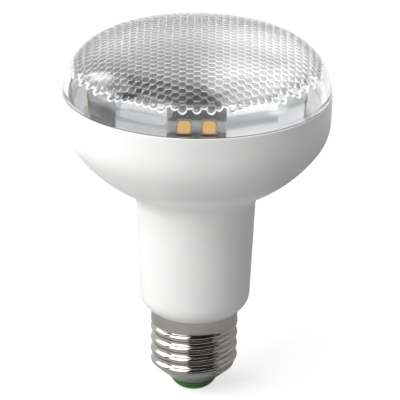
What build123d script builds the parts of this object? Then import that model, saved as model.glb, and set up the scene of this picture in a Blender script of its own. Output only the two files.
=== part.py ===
from build123d import *
from math import acos, asin, cos, hypot, pi, radians, sin, sqrt, tan
import os

# Reflector lamp with light-emitting diodes behind a clear honeycomb lens.
# Z is the lamp's axis. The outer face of the centre contact is at zero and the lens is on top.
# All sizes are in millimetres and all leans in degrees from the vertical.

# Screw cap, from the contact upwards
contact_radius = 4.3
contact_thickness = 0.6
contact_proud = 0.3
contact_edge = 0.2
stem_radius = 1.2
stem_rivet = 0.4
insulator_foot_radius = 4.7
insulator_bulge = 0.35
insulator_height = 2.9
insulator_depth = 1.8
cap_sheet = 0.3
cap_tip_radius = 7.05
cap_cone = 4.4
thread_pitch = 3.62
thread_root_radius = 12.1
thread_crest_radius = 13.15
thread_rounding = 1.0
thread_flank = 45
thread_length = 14.1
thread_start = 0.8
collar_radius = 13.1
collar_flare = 0.6
collar_length = 3.55

# Housing, from the seam under the lens down to the cap
head_radius = 40.05
head_wall = 8.0
head_draft = 1.4
head_turn = 14.2
flare_lean_above = 35
flare_lean_below = 63
neck_turn = 7.0
neck_radius = 17.9
neck_draft = 2.5
shoulder_turn = 6.0
shoulder_lean = 50
shoulder_edge = 0.1
housing_length = 69.25
housing_wall = 2.0
rim_wall = 1.8
ledge_depth = 5.2
ledge_width = 2.7
spigot_length = 16.5
spigot_wall = 1.5

# Lens
lens_edge = 0.15
lens_setback = 0.1
lens_shoulder = 15.0
lens_dome = 126.0
lens_skirt_wall = 1.0
comb_pitch = 2.45
comb_step = 0.2
comb_bulge = 0.45
comb_margin = 1.15

# Light engine on the housing's ledge
spreader_plate = 2.0
spreader_skirt = 6.5
spreader_skirt_wall = 1.5
pad_thickness = 0.3
pad_margin = 1.0
base_board_thickness = 1.2
led_pairs = 4
led_sides = 3
led_size = 4.1
led_height = 0.8
led_window = 3.55
led_window_corner = 0.8
led_window_depth = 0.3
led_pair_spacing = 7.1
led_front_gap = 4.95
led_lift = 0.4
led_board_width = 15.6
led_board_height = 6.0
led_board_thickness = 1.0
reflector_wall = 2.0
reflector_height = 8.0
reflector_roof = 1.2
reflector_dish = 0.9
reflector_rim = 1.0
peg_radius = 0.55
peg_count = 4
screw_count = 3
screw_circle = 20.0
screw_radius = 1.25
screw_head_radius = 2.3
screw_head_height = 1.3
screw_tip = 1.0
screw_slot = 0.6

# Driver on its board in the neck
driver_width = 27.0
driver_height = 42.0
driver_thickness = 1.2
driver_lift = 4.6
guide_height = 30.0
guide_floor = 1.0
guide_wall = 1.2
guide_grip = 1.2
electrolytic_radius = 4.0
electrolytic_length = 14.0
electrolytic_groove = 0.4
electrolytic_groove_height = 2.0
electrolytic_place = (5.5, 31.0)
film_size = (10.0, 5.0, 9.0)
film_edge = 0.8
film_place = (-5.5, 29.0)
rectifier_size = (4.7, 2.5, 4.0)
rectifier_place = (5.0, 9.0)
chip_size = (5.0, 1.5, 4.0)
chip_place = (5.0, 6.0)
small_body_edge = 0.3
core_size = (14.0, 5.0, 13.0)
core_yoke = 2.0
core_leg = 4.0
winding_depth = 9.0
transformer_place = (0.0, 22.0)
fuse_radius = 1.5
fuse_end_radius = 1.7
fuse_end_length = 1.2
fuse_length = 8.0
fuse_place = (-5.5, 6.0)

# Leads
lead_radius = 0.5
lead_spread = 4.0
lead_bend = 3.0
lead_rise = 7.5
lead_end = 0.6

# Clearances
sheet_fit = 0.05
spigot_fit = 0.1
lens_fit = 0.1
board_fit = 0.1
hole_fit = 0.1
seat_gap = 0.05

# Heights worked out from the sizes above
insulator_foot = contact_proud
cap_tip = insulator_foot + insulator_height
cap_root = cap_tip + cap_cone
thread_end = cap_root + thread_length
collar_start = thread_end + collar_flare
cap_top = collar_start + collar_length
seam = cap_top + housing_length
ledge = seam - ledge_depth
spreader_top = ledge + spreader_plate
pad_top = spreader_top + pad_thickness
base_board_top = pad_top + base_board_thickness
led_middle = base_board_top + led_lift + led_size / 2
driver_foot = cap_top + driver_lift
driver_top = driver_foot + driver_height
insulator_top = cap_tip + insulator_depth
stem_top = insulator_top + stem_rivet
spigot_foot = cap_top - spigot_length
lens_land = seam + lens_edge

# Radii worked out from the sizes above
seat_radius = head_radius - rim_wall
ledge_radius = seat_radius - ledge_width
lens_radius = head_radius - lens_setback
lens_skirt_radius = seat_radius - lens_fit
lens_bore_radius = lens_skirt_radius - lens_skirt_wall
comb_radius = lens_bore_radius - comb_margin
base_board_radius = lens_bore_radius - board_fit
spigot_radius = thread_root_radius - cap_sheet - spigot_fit
spigot_bore = spigot_radius - spigot_wall
lead_hole_radius = lead_radius + hole_fit
cap_seat_radius = collar_radius + shoulder_edge

# Flat sides of the reflector, and their distance from the axis
reflector_sides = led_sides * led_pairs
reflector_reach = base_board_radius - led_front_gap - led_height

# The lens's outside: its dome runs into its shoulder without a corner, at dome_lean from the axis
lens_shoulder_centre = lens_radius - lens_shoulder
dome_lean = asin(lens_shoulder_centre / (lens_dome - lens_shoulder))
dome_centre = lens_land - (lens_dome - lens_shoulder) * cos(dome_lean)
crown = dome_centre + lens_dome

# The lens's inside is its outside moved inwards by its wall, and the comb covers it out to comb_lean
inner_dome = lens_dome - lens_radius + lens_bore_radius
inner_shoulder = lens_bore_radius - lens_shoulder_centre
comb_lean = asin((comb_radius - lens_shoulder_centre) / inner_shoulder)
comb_reach = inner_dome * dome_lean + inner_shoulder * (comb_lean - dome_lean)
comb_floor = lens_land + inner_shoulder * cos(comb_lean) - comb_step


def turned(outline):
    """Solid of revolution about Z from a closed list of (radius, height) corners."""
    face = Face(Wire.make_polygon([Vector(r, 0, z) for r, z in outline], close=True))
    return revolve(face, Axis.Z)


def drum(radius, low, high, x=0.0, y=0.0):
    """Upright cylinder between two heights."""
    return Pos(x, y, low) * Cylinder(radius, high - low, align=(Align.CENTER, Align.CENTER, Align.MIN))


def ring_places(count, radius, first=90.0):
    """Evenly spaced (x, y) places on a circle."""
    angles = [radians(first + 360.0 * k / count) for k in range(count)]
    return [(radius * cos(a), radius * sin(a)) for a in angles]


def inset(corners, depth):
    """Open line of (radius, height) corners moved inwards by depth, with mitred corners."""
    normals = []
    for (r0, z0), (r1, z1) in zip(corners, corners[1:]):
        length = hypot(r1 - r0, z1 - z0)
        normals.append(((z1 - z0) / length, (r0 - r1) / length))
    before = [normals[0]] + normals
    after = normals + [normals[-1]]
    moved = []
    for (r, z), (ar, az), (br, bz) in zip(corners, before, after):
        reach = depth / (1 + ar * br + az * bz)
        moved.append((r - reach * (ar + br), z - reach * (az + bz)))
    return moved


# The cap's plain form under its thread: cone, threaded stretch, flare and collar
cap_line = [
    (cap_tip_radius, cap_tip),
    (thread_root_radius, cap_root),
    (thread_root_radius, thread_end),
    (collar_radius, collar_start),
    (collar_radius, cap_top),
]
cone_slope = cap_cone / (thread_root_radius - cap_tip_radius)


def cone_height(radius, depth):
    """Height on the cap's cone at a radius, on its face moved inwards by depth."""
    outer = cap_tip + cone_slope * (radius - cap_tip_radius)
    return outer + depth * sqrt(1 + cone_slope**2)


def thread_ridge(depth):
    """The thread's round ridge wound about the cap, with its surface moved inwards by depth."""
    crest = thread_crest_radius - depth
    rounding = thread_rounding - depth
    base = thread_root_radius - depth - cap_sheet
    half_crest = rounding * sin(radians(thread_flank))
    drop = rounding * (1 - cos(radians(thread_flank)))
    half_base = half_crest + (crest - drop - base) / tan(radians(thread_flank))
    start = cap_root - thread_start
    rise = collar_start - start
    with BuildSketch(Plane.XZ) as section:
        with BuildLine():
            above, below = (crest - drop, half_crest), (crest - drop, -half_crest)
            Polyline(above, (base, half_base), (base, -half_base), below)
            ThreePointArc(below, (crest, 0), above)
        make_face()
    path = Pos(0, 0, start) * Helix(pitch=thread_pitch, height=rise, radius=base)
    wound = sweep(Pos(0, 0, start) * section.sketch, path=path, is_frenet=True)
    # the ridge grows out of the cone below and ends where the collar flares out
    clear = thread_crest_radius + cap_sheet
    cone_out = cap_root + cone_slope * (clear - thread_root_radius)
    limit = inset([(cap_tip_radius, cap_tip), (clear, cone_out), (clear, thread_end)], depth)
    return wound & turned(limit + [(0, thread_end), (0, limit[0][1])])


def cap_form(depth):
    """Solid form of the cap with its face moved inwards by depth."""
    line = inset(cap_line, depth)
    return turned(line + [(0, line[-1][1]), (0, line[0][1])]) + thread_ridge(depth)


def cap_shell():
    """Thin rolled sheet: the cap's form less the same form one sheet further in."""
    shell = cap_form(0) - cap_form(cap_sheet)
    # the sheet is open at both ends
    line = inset(cap_line, cap_sheet)
    return shell - drum(line[-1][0], collar_start, cap_top) - drum(line[0][0], cap_tip, line[0][1])


def cap_insulator():
    """Green moulding that closes the cap's cone and carries the centre contact."""
    rim_bore = inset(cap_line, cap_sheet)[0][0] - sheet_fit
    lip = (cap_tip_radius, cap_tip - sheet_fit)
    step = (rim_bore, lip[1])
    inner = (rim_bore, cone_height(rim_bore, cap_sheet + sheet_fit))
    top_radius = rim_bore + (insulator_top - inner[1]) / cone_slope
    recess = contact_radius + seat_gap
    foot = (insulator_foot_radius, insulator_foot)
    middle = ((foot[0] + lip[0]) / 2 + insulator_bulge, (foot[1] + lip[1]) / 2)
    hole = stem_radius + seat_gap
    with BuildSketch(Plane.XZ) as section:
        with BuildLine():
            Polyline(lip, step, inner, (top_radius, insulator_top), (hole, insulator_top))
            Polyline((hole, insulator_top), (hole, contact_thickness), (recess, contact_thickness))
            Polyline((recess, contact_thickness), (recess, insulator_foot), foot)
            ThreePointArc(foot, middle, lip)
        make_face()
    return revolve(section.sketch, Axis.Z)


def centre_contact():
    """Flat button under the insulator with a stem riveted through it."""
    button = drum(contact_radius, 0, contact_thickness)
    button = chamfer(button.edges().group_by(Axis.Z)[0], contact_edge)
    return button + drum(stem_radius, contact_thickness, stem_top)


def outward(lean):
    """Outward direction, as (radius, height), of a wall that leans inwards going down."""
    return cos(radians(lean)), -sin(radians(lean))


def housing_wall_line():
    """The housing's side from seam to cap, as stretches of (start, lean, turn, next lean).

    A turn of zero is a straight stretch. A positive turn bulges outwards, a negative one inwards.
    """

    def turn_step(radius, lean, next_lean):
        a, b = outward(lean), outward(next_lean)
        return radius * (b[0] - a[0]), radius * (b[1] - a[1])

    def straight_step(length, lean):
        return -length * sin(radians(lean)), -length * cos(radians(lean))

    wall_step = straight_step(head_wall, head_draft)
    head_step = turn_step(head_turn, head_draft, flare_lean_above)
    neck_step = turn_step(-neck_turn, flare_lean_below, neck_draft)
    shoulder_step = turn_step(shoulder_turn, neck_draft, shoulder_lean)
    # the flare's turn takes up what is left between the head and the neck
    flare_fall = head_radius + wall_step[0] + head_step[0] + neck_step[0] - neck_radius
    flare_turn = flare_fall / (outward(flare_lean_above)[0] - outward(flare_lean_below)[0])
    flare_step = turn_step(flare_turn, flare_lean_above, flare_lean_below)
    # the neck and the shoulder's cone are as long as the height and the cap's seat leave
    drop = housing_length + wall_step[1] + head_step[1] + flare_step[1] + neck_step[1] + shoulder_step[1]
    fall = neck_radius + shoulder_step[0] - cap_seat_radius
    neck_slope, cone_slope_in = tan(radians(neck_draft)), tan(radians(shoulder_lean))
    cone_drop = (fall - drop * neck_slope) / (cone_slope_in - neck_slope)
    neck_length = (drop - cone_drop) / cos(radians(neck_draft))
    cone_length = cone_drop / cos(radians(shoulder_lean))
    stretches = [
        (wall_step, head_draft, 0, head_draft),
        (head_step, head_draft, head_turn, flare_lean_above),
        (flare_step, flare_lean_above, flare_turn, flare_lean_below),
        (neck_step, flare_lean_below, -neck_turn, neck_draft),
        (straight_step(neck_length, neck_draft), neck_draft, 0, neck_draft),
        (shoulder_step, neck_draft, shoulder_turn, shoulder_lean),
        (straight_step(cone_length, shoulder_lean), shoulder_lean, 0, shoulder_lean),
    ]
    line = []
    place = (head_radius, seam)
    for step, lean, turn, next_lean in stretches:
        line.append((place, lean, turn, next_lean))
        place = (place[0] + step[0], place[1] + step[1])
    line.append((place, shoulder_lean, 0, shoulder_lean))
    return line


def housing_form(depth):
    """Solid form of the housing with its side moved inwards by depth, open to nothing."""
    line = housing_wall_line()

    def moved(place, lean, reach):
        direction = outward(lean)
        return place[0] + reach * direction[0], place[1] + reach * direction[1]

    with BuildSketch(Plane.XZ) as section:
        with BuildLine():
            for (place, lean, turn, next_lean), (next_place, _, _, _) in zip(line, line[1:]):
                start = moved(place, lean, -depth)
                end = moved(next_place, next_lean, -depth)
                if turn:
                    centre = moved(place, lean, -turn)
                    ThreePointArc(start, moved(centre, (lean + next_lean) / 2, turn - depth), end)
                else:
                    Line(start, end)
            top = moved(line[0][0], head_draft, -depth)
            foot = moved(line[-1][0], shoulder_lean, -depth)
            Polyline(foot, (0, foot[1]), (0, top[1]), top)
        make_face()
    return revolve(section.sketch, Axis.Z)


def driver_guides():
    """Two grooved blocks on the neck's inner wall that hold the driver board's edges."""
    half = driver_width / 2
    slot = driver_thickness + 2 * board_fit
    width = slot + 2 * guide_wall
    foot = driver_foot - guide_floor
    align = (Align.MIN, Align.CENTER, Align.MIN)
    block = Pos(half - guide_grip, 0, foot) * Box(neck_radius, width, guide_height, align=align)
    groove = Box(guide_grip + board_fit, slot, guide_height, align=align)
    groove = Pos(half - guide_grip, 0, driver_foot) * groove
    guide = (block & housing_form(housing_wall / 2)) - groove
    return guide + mirror(guide, Plane.YZ)


def housing():
    """White moulding: flared head, neck, lens seat, ledge, board guides and spigot for the cap."""
    spigot_line = inset(cap_line, cap_sheet + spigot_fit)[2:-1]
    collar_inside = spigot_line[-1][0]
    spigot = [(0, spigot_foot), (spigot_radius, spigot_foot)] + spigot_line
    spigot = turned(spigot + [(collar_inside, cap_top), (0, cap_top)])
    cavity = housing_form(housing_wall) & drum(ledge_radius, spigot_foot, seam)
    body = housing_form(0) + spigot
    body = body - cavity - drum(seat_radius, ledge, seam)
    body = body - drum(spigot_bore, spigot_foot, cap_top + 2 * housing_wall)
    return body + driver_guides()


def lens_outline():
    """Blank of the lens: dome and shoulder of even wall, short skirt, flat ceiling at the comb's floor."""

    def on_shoulder(radius, lean):
        return lens_shoulder_centre + radius * sin(lean), lens_land + radius * cos(lean)

    dome_half = (lens_dome * sin(dome_lean / 2), dome_centre + lens_dome * cos(dome_lean / 2))
    meet = on_shoulder(lens_shoulder, dome_lean)
    edge = (lens_radius, lens_land)
    ceiling_lean = acos((comb_floor - lens_land) / inner_shoulder)
    ceiling = on_shoulder(inner_shoulder, ceiling_lean)
    skirt_foot = spreader_top + seat_gap
    with BuildSketch(Plane.XZ) as section:
        with BuildLine():
            ThreePointArc((0, crown), dome_half, meet)
            ThreePointArc(meet, on_shoulder(lens_shoulder, (dome_lean + pi / 2) / 2), edge)
            Polyline(edge, (lens_radius, seam), (lens_skirt_radius, seam), (lens_skirt_radius, skirt_foot))
            bore = [(lens_bore_radius, skirt_foot), (lens_bore_radius, lens_land)]
            Polyline((lens_skirt_radius, skirt_foot), *bore)
            ThreePointArc(bore[1], on_shoulder(inner_shoulder, (ceiling_lean + pi / 2) / 2), ceiling)
            Polyline(ceiling, (0, comb_floor), (0, crown))
        make_face()
    return section.sketch


def comb_place(x, y, depth=0.0):
    """Point of a flat comb wrapped onto the lens's inside and moved further in by depth."""
    along = hypot(x, y)
    lean = along / inner_dome
    radius, height = inner_dome * sin(lean), dome_centre + inner_dome * cos(lean)
    if lean > dome_lean:
        lean = dome_lean + (along - inner_dome * dome_lean) / inner_shoulder
        radius = lens_shoulder_centre + inner_shoulder * sin(lean)
        height = lens_land + inner_shoulder * cos(lean)
    scale = (radius - depth * sin(lean)) / along if along else 0.0
    return x * scale, y * scale, height - depth * cos(lean)


def comb_cells():
    """Centres of the flat comb's whole hexagons inside its circle, with neighbours along Y."""
    corner = comb_pitch / sqrt(3)
    column = 1.5 * corner
    reach = int(comb_reach / column) + 1
    rows = int(comb_reach / comb_pitch) + 2
    cells = []
    for i in range(-reach, reach + 1):
        for j in range(-rows, rows + 1):
            x, y = i * column, (j + 0.5 * (i % 2)) * comb_pitch
            if hypot(x, y) + corner <= comb_reach:
                cells.append((x, y))
    return cells, corner


def lens():
    """Clear lens: its flat ceiling gives way to a vaulted comb of six-sided lenslets."""
    blank = revolve(lens_outline(), Axis.Z).solid()
    cells, corner = comb_cells()
    facets = []
    sides = {}
    for x, y in cells:
        rim = []
        for k in range(6):
            rim.append(comb_place(x + corner * cos(k * pi / 3), y + corner * sin(k * pi / 3)))
        tip = comb_place(x, y, comb_bulge)
        for start, end in zip(rim, rim[1:] + rim[:1]):
            facets.append([start, end, tip])
            names = [(round(px, 2), round(py, 2)) for px, py, _ in (start, end)]
            sides.setdefault(frozenset(names), []).append((names[0], start, end))
    # sides that only one cell has make the comb's zigzag edge
    edge = {}
    for shared in sides.values():
        if len(shared) == 1:
            name, start, end = shared[0]
            edge[name] = (start, end)
    loop = []
    name = next(iter(edge))
    while name in edge:
        start, end = edge.pop(name)
        low_start, low_end = (*start[:2], comb_floor), (*end[:2], comb_floor)
        facets.append([start, end, low_end, low_start])
        loop.append(low_start)
        name = (round(end[0], 2), round(end[1], 2))

    def plate(corners):
        return Face(Wire.make_polygon([Vector(*c) for c in corners], close=True))

    ceiling = blank.faces().filter_by(GeomType.PLANE).sort_by(Axis.Z)[-1]
    kept = [face for face in blank.faces() if not face.is_same(ceiling)]
    opened = ceiling.make_holes([Wire.make_polygon([Vector(*c) for c in loop], close=True)])
    return Solid(Shell(kept + [opened] + [plate(corners) for corners in facets]))


def heat_spreader():
    """Aluminium plate on the housing's ledge with a skirt inside the ledge."""
    skirt_radius = ledge_radius - lens_fit
    plate = drum(seat_radius - lens_fit, ledge, spreader_top)
    skirt = drum(skirt_radius, ledge - spreader_skirt, ledge)
    skirt -= drum(skirt_radius - spreader_skirt_wall, ledge - spreader_skirt, ledge)
    body = plate + skirt
    for x, y in ring_places(screw_count, screw_circle):
        body -= drum(screw_radius + seat_gap, ledge, spreader_top, x, y)
    for x in (-lead_spread, lead_spread):
        body -= drum(lead_hole_radius, ledge, spreader_top, x)
    return body


def pierced_disc(radius, low, high):
    """Disc with the screws' and the leads' holes."""
    disc = drum(radius, low, high)
    for x, y in ring_places(screw_count, screw_circle):
        disc -= drum(screw_radius + hole_fit, low, high, x, y)
    for x in (-lead_spread, lead_spread):
        disc -= drum(lead_hole_radius, low, high, x)
    return disc


def pair_turns():
    """Turn of each pair of LEDs about the axis, in degrees, the first towards -Y."""
    return [-90.0 + 360.0 * k / led_pairs for k in range(led_pairs)]


def peg_places():
    """Places of the reflector's pegs, in the wall of sides that carry no LEDs."""
    return ring_places(peg_count, reflector_reach - reflector_wall / 2, 360.0 / reflector_sides - 90.0)


def base_board():
    """Round board under the reflector with holes for the screws, the leads and the reflector's pegs."""
    board = pierced_disc(base_board_radius, pad_top, base_board_top)
    for x, y in peg_places():
        board -= drum(peg_radius + hole_fit, pad_top, base_board_top, x, y)
    return board


def led_board(turn, fit=0.0):
    """Upright board in one side of the reflector, flush with it, larger all round by a fit."""
    align = (Align.MAX, Align.CENTER, Align.MIN)
    board = Box(led_board_thickness, led_board_width + 2 * fit, led_board_height + fit, align=align)
    return Rot(0, 0, turn) * Pos(reflector_reach, 0, base_board_top) * board


def reflector_prism(reach, low, high):
    """Many-sided prism about Z whose first side faces -Y."""
    turn = -90.0 + 180.0 / reflector_sides
    side = RegularPolygon(reach, reflector_sides, major_radius=False, rotation=turn)
    return Pos(0, 0, low) * extrude(side, high - low)


def reflector():
    """Bright drum with flat sides, closed by a shallow dish, with room for each board in its side."""
    top = base_board_top + reflector_height
    dish_radius = reflector_reach - reflector_rim
    dish_low = top - reflector_dish
    body = reflector_prism(reflector_reach, base_board_top, top)
    body -= reflector_prism(reflector_reach - reflector_wall, base_board_top, dish_low - reflector_roof)
    body -= turned([(0, dish_low), (dish_radius, top), (0, top)])
    for turn in pair_turns():
        body -= led_board(turn, board_fit)
    for x, y in peg_places():
        body += drum(peg_radius, pad_top, base_board_top, x, y)
    return body


def board_screws():
    """Alike slotted screws through the base board into the spreader."""
    screws = []
    head_top = base_board_top + screw_head_height
    for x, y in ring_places(screw_count, screw_circle):
        screw = drum(screw_head_radius, base_board_top, head_top, x, y)
        screw += drum(screw_radius, ledge - screw_tip, base_board_top, x, y)
        slot = Box(2 * screw_head_radius, screw_slot, 2 * screw_slot)
        screws.append((screw - Pos(x, y, head_top) * slot).solid())
    return Compound(children=screws)


def led_parts(turn, side):
    """White package that faces outwards with a square window, and the amber fill of that window."""
    place = Rot(0, 0, turn) * Pos(reflector_reach, side * led_pair_spacing / 2, led_middle) * Rot(0, 90, 0)
    align = (Align.CENTER, Align.CENTER, Align.MIN)
    fill = Box(led_window, led_window, led_window_depth, align=align)
    fill = Pos(0, 0, led_height - led_window_depth) * fill
    fill = fillet(fill.edges().filter_by(Axis.Z), led_window_corner)
    package = Box(led_size, led_size, led_height, align=align) - fill
    return place * package, place * fill


def on_board(size, place, side):
    """Place of a body of this size on the driver board, by its middle across and up the board."""
    _, depth, _ = size
    across, up = place
    return Pos(across, side * (driver_thickness / 2 + seat_gap + depth / 2), driver_foot + up)


def small_body(size, place, side, edge):
    """Box-shaped driver part with eased edges."""
    return on_board(size, place, side) * fillet(Box(*size).edges(), edge)


def driver_board():
    """Upright board whose edges stand in the housing's guides."""
    align = (Align.CENTER, Align.CENTER, Align.MIN)
    return Pos(0, 0, driver_foot) * Box(driver_width, driver_thickness, driver_height, align=align)


def electrolytic_capacitor():
    """Round can lying along the board, with the rolled groove near its foot."""
    size = (2 * electrolytic_radius, 2 * electrolytic_radius, electrolytic_length)
    can = Cylinder(electrolytic_radius, electrolytic_length)
    can = fillet(can.edges(), electrolytic_groove)
    groove = Torus(electrolytic_radius, electrolytic_groove)
    groove_height = electrolytic_groove_height - electrolytic_length / 2
    return on_board(size, electrolytic_place, 1) * (can - Pos(0, 0, groove_height) * groove)


def transformer_core():
    """Ferrite core with two windows beside its middle leg."""
    width, depth, height = core_size
    window = (width - core_leg) / 2 - core_yoke
    core = Box(width, depth, height)
    for side in (-1, 1):
        core -= Pos(side * (core_leg + window) / 2, 0, 0) * Box(window, depth, height - 2 * core_yoke)
    return on_board((width, winding_depth, height), transformer_place, -1) * core


def transformer_winding():
    """Winding round the core's middle leg, through both windows."""
    width, depth, height = core_size
    window_height = height - 2 * core_yoke
    across = width - 2 * core_yoke - 2 * seat_gap
    body = Box(across, winding_depth, window_height - 2 * seat_gap)
    body = fillet(body.edges().filter_by(Axis.Z), small_body_edge)
    body -= Box(core_leg + 2 * seat_gap, depth + 2 * seat_gap, window_height)
    return on_board((across, winding_depth, window_height), transformer_place, -1) * body


def fuse_resistor():
    """Small fusible resistor with a cap at each end, lying across the board."""
    half = fuse_length / 2
    body = Rot(0, 90, 0) * Cylinder(fuse_radius, fuse_length)
    for side in (-1, 1):
        end = Rot(0, 90, 0) * Cylinder(fuse_end_radius, fuse_end_length)
        body += Pos(side * (half - fuse_end_length / 2), 0, 0) * end
    return on_board((fuse_length, 2 * fuse_end_radius, 2 * fuse_end_radius), fuse_place, -1) * body


def bent_lead(points):
    """Insulated wire along straight runs joined by round bends."""
    path = FilletPolyline(*points, radius=lead_bend)
    section = Plane(origin=points[0], z_dir=(0, 0, 1)) * Circle(lead_radius)
    return sweep(section, path=path)


def live_lead():
    """Wire from the contact's stem to the driver board's lower edge."""
    low = stem_top + lead_rise
    high = driver_foot - lead_rise
    board_end = [(-lead_spread, 0, high), (-lead_spread, 0, driver_foot)]
    return bent_lead([(0, 0, stem_top), (0, 0, low)] + board_end)


def neutral_lead():
    """Wire from the inside of the cap's cone to the driver board's lower edge."""
    reach = spigot_bore - lead_radius - 2 * hole_fit
    start = cone_height(reach + lead_radius, cap_sheet) + seat_gap
    high = driver_foot - lead_rise
    low = start + lead_rise / 2
    board_end = [(lead_spread, 0, high), (lead_spread, 0, driver_foot)]
    return bent_lead([(reach, 0, start), (reach, 0, low)] + board_end)


def led_lead(side):
    """Straight wire from the driver board's upper edge through the spreader and the base board."""
    return drum(lead_radius, driver_top, base_board_top + lead_end, side * lead_spread)


pieces = {
    "lens": lens(),
    "housing": housing(),
    "cap_shell": cap_shell(),
    "cap_insulator": cap_insulator(),
    "centre_contact": centre_contact(),
    "reflector": reflector(),
    "heat_spreader": heat_spreader(),
    "thermal_pad": pierced_disc(base_board_radius - pad_margin, spreader_top, pad_top),
    "base_board": base_board(),
    "board_screws": board_screws(),
    "driver_board": driver_board(),
    "electrolytic_capacitor": electrolytic_capacitor(),
    "film_capacitor": small_body(film_size, film_place, 1, film_edge),
    "bridge_rectifier": small_body(rectifier_size, rectifier_place, 1, small_body_edge),
    "driver_chip": small_body(chip_size, chip_place, -1, small_body_edge),
    "transformer_core": transformer_core(),
    "transformer_winding": transformer_winding(),
    "fuse_resistor": fuse_resistor(),
    "live_lead": live_lead(),
    "neutral_lead": neutral_lead(),
    "led_lead_positive": led_lead(1),
    "led_lead_negative": led_lead(-1),
}
for number, turn in enumerate(pair_turns(), start=1):
    pieces[f"led_board_{number}"] = led_board(turn)
    for side, letter in ((-1, "a"), (1, "b")):
        package, fill = led_parts(turn, side)
        pieces[f"led_{number}{letter}"] = package
        pieces[f"phosphor_{number}{letter}"] = fill

os.makedirs("parts", exist_ok=True)
for name, piece in pieces.items():
    export_step(piece, f"parts/{name}.step")
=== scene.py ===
# %% [markdown]
# # A reflector bulb in Blender
# The lamp stands on its screw cap with its clear lens upwards. The solids of the lamp come from a packed
# CAD model, which fixes every size and place. This notebook gives the lamp its looks: smooth surfaces
# where the light plays on plastic and nickel, and a finish for every piece, also for those that the
# housing hides. Shapes are worked out in millimetres with numpy and put into Blender in metres.

import math

import bmesh
import bpy
import numpy as np
from mathutils import Matrix, Vector


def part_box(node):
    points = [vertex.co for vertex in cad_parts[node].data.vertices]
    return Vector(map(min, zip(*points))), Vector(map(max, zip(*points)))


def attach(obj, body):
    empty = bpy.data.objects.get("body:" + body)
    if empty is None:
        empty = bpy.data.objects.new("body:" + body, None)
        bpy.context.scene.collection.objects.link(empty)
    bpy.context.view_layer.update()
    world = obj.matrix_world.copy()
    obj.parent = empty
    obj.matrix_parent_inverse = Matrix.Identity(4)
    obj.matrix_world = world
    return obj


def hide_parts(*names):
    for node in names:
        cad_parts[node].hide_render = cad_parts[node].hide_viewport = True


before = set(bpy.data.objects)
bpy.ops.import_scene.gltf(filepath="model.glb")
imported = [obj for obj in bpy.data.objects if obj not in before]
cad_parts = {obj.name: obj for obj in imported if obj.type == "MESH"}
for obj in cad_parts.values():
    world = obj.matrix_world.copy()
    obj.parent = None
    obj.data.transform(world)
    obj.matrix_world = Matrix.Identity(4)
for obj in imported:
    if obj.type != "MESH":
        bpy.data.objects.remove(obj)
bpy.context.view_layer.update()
MM = 0.001
BODY = "root"
scene = bpy.context.scene
scene.view_settings.view_transform = "Standard"


def span(node):
    """Radius, lowest and highest place of a node that is turned about Z, in millimetres."""
    low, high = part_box(node)
    return high.x / MM, low.z / MM, high.z / MM


head_radius, _, seam = span("housing")
lens_radius, skirt_foot, crown = span("lens")
_, cap_tip, cap_top = span("cap_shell")
print(f"{len(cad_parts)} nodes, head {2 * head_radius:.1f} mm wide, lamp {crown:.1f} mm tall")

# %% [markdown]
# ## The camera
# The photograph was taken from a little above, with a long lens, and the lamp leans a trace in the
# picture. A camera can be aimed with a constraint, but three axes and a place say the same thing in one
# matrix, and the lean is then a turn of two of those axes.

# %% Camera
view_elevation = math.radians(21.9)
view_roll = math.radians(0.79)
view_distance = 1000.0
view_aim = Vector((1.27, 0.0, 60.44))
view_sensor = 36.0
view_focal = 300.7
view_end = 20000.0


def look(elevation, roll, distance, aim):
    """Camera matrix: columns are its right, up and backward axes and its place, seen from -Y."""
    back = Vector((0, -math.cos(elevation), math.sin(elevation)))
    level_up = Vector((0, math.sin(elevation), math.cos(elevation)))
    level_right = Vector((1, 0, 0))
    right = level_right * math.cos(roll) + level_up * math.sin(roll)
    up = level_up * math.cos(roll) - level_right * math.sin(roll)
    matrix = Matrix((right, up, back)).transposed().to_4x4()
    matrix.translation = (aim + back * distance) * MM
    return matrix


camera = bpy.data.objects.new("camera", bpy.data.cameras.new("camera"))
scene.collection.objects.link(camera)
camera.data.sensor_width = view_sensor
camera.data.lens = view_focal
camera.data.clip_end = view_end * MM
camera.matrix_world = look(view_elevation, view_roll, view_distance, view_aim)
scene.camera = camera
print(f"camera at {[round(x, 3) for x in camera.matrix_world.translation]} m")

# %% [markdown]
# ## Writing shaders as sums
# A finish is a web of nodes, and by hand each sum costs a node and two links. A small class that stands
# for a socket lets Python's own operators add those nodes, so `0.2 + 0.1 * grain` reads as it would on
# paper. One method makes every node: it takes the type, what goes into the sockets, and the settings.

# %% Sockets that can be reckoned with
class Wire:
    """The value of a socket. Each operator adds one Math node and gives its result."""

    def __init__(self, bench, socket):
        self.bench = bench
        self.socket = socket

    def reckon(self, operation, *values):
        return self.bench.node("ShaderNodeMath", dict(enumerate(values)), operation=operation)[0]

    def __add__(self, other):
        return self.reckon("ADD", self, other)

    def __radd__(self, other):
        return self.reckon("ADD", other, self)

    def __sub__(self, other):
        return self.reckon("SUBTRACT", self, other)

    def __rsub__(self, other):
        return self.reckon("SUBTRACT", other, self)

    def __mul__(self, other):
        return self.reckon("MULTIPLY", self, other)

    def __rmul__(self, other):
        return self.reckon("MULTIPLY", other, self)

    def __gt__(self, other):
        return self.reckon("GREATER_THAN", self, other)

    def __lt__(self, other):
        return self.reckon("LESS_THAN", self, other)

    def larger(self, other):
        return self.reckon("MAXIMUM", self, other)

    def root(self):
        return self.reckon("SQRT", self)


print("sockets can be reckoned with")

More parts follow.
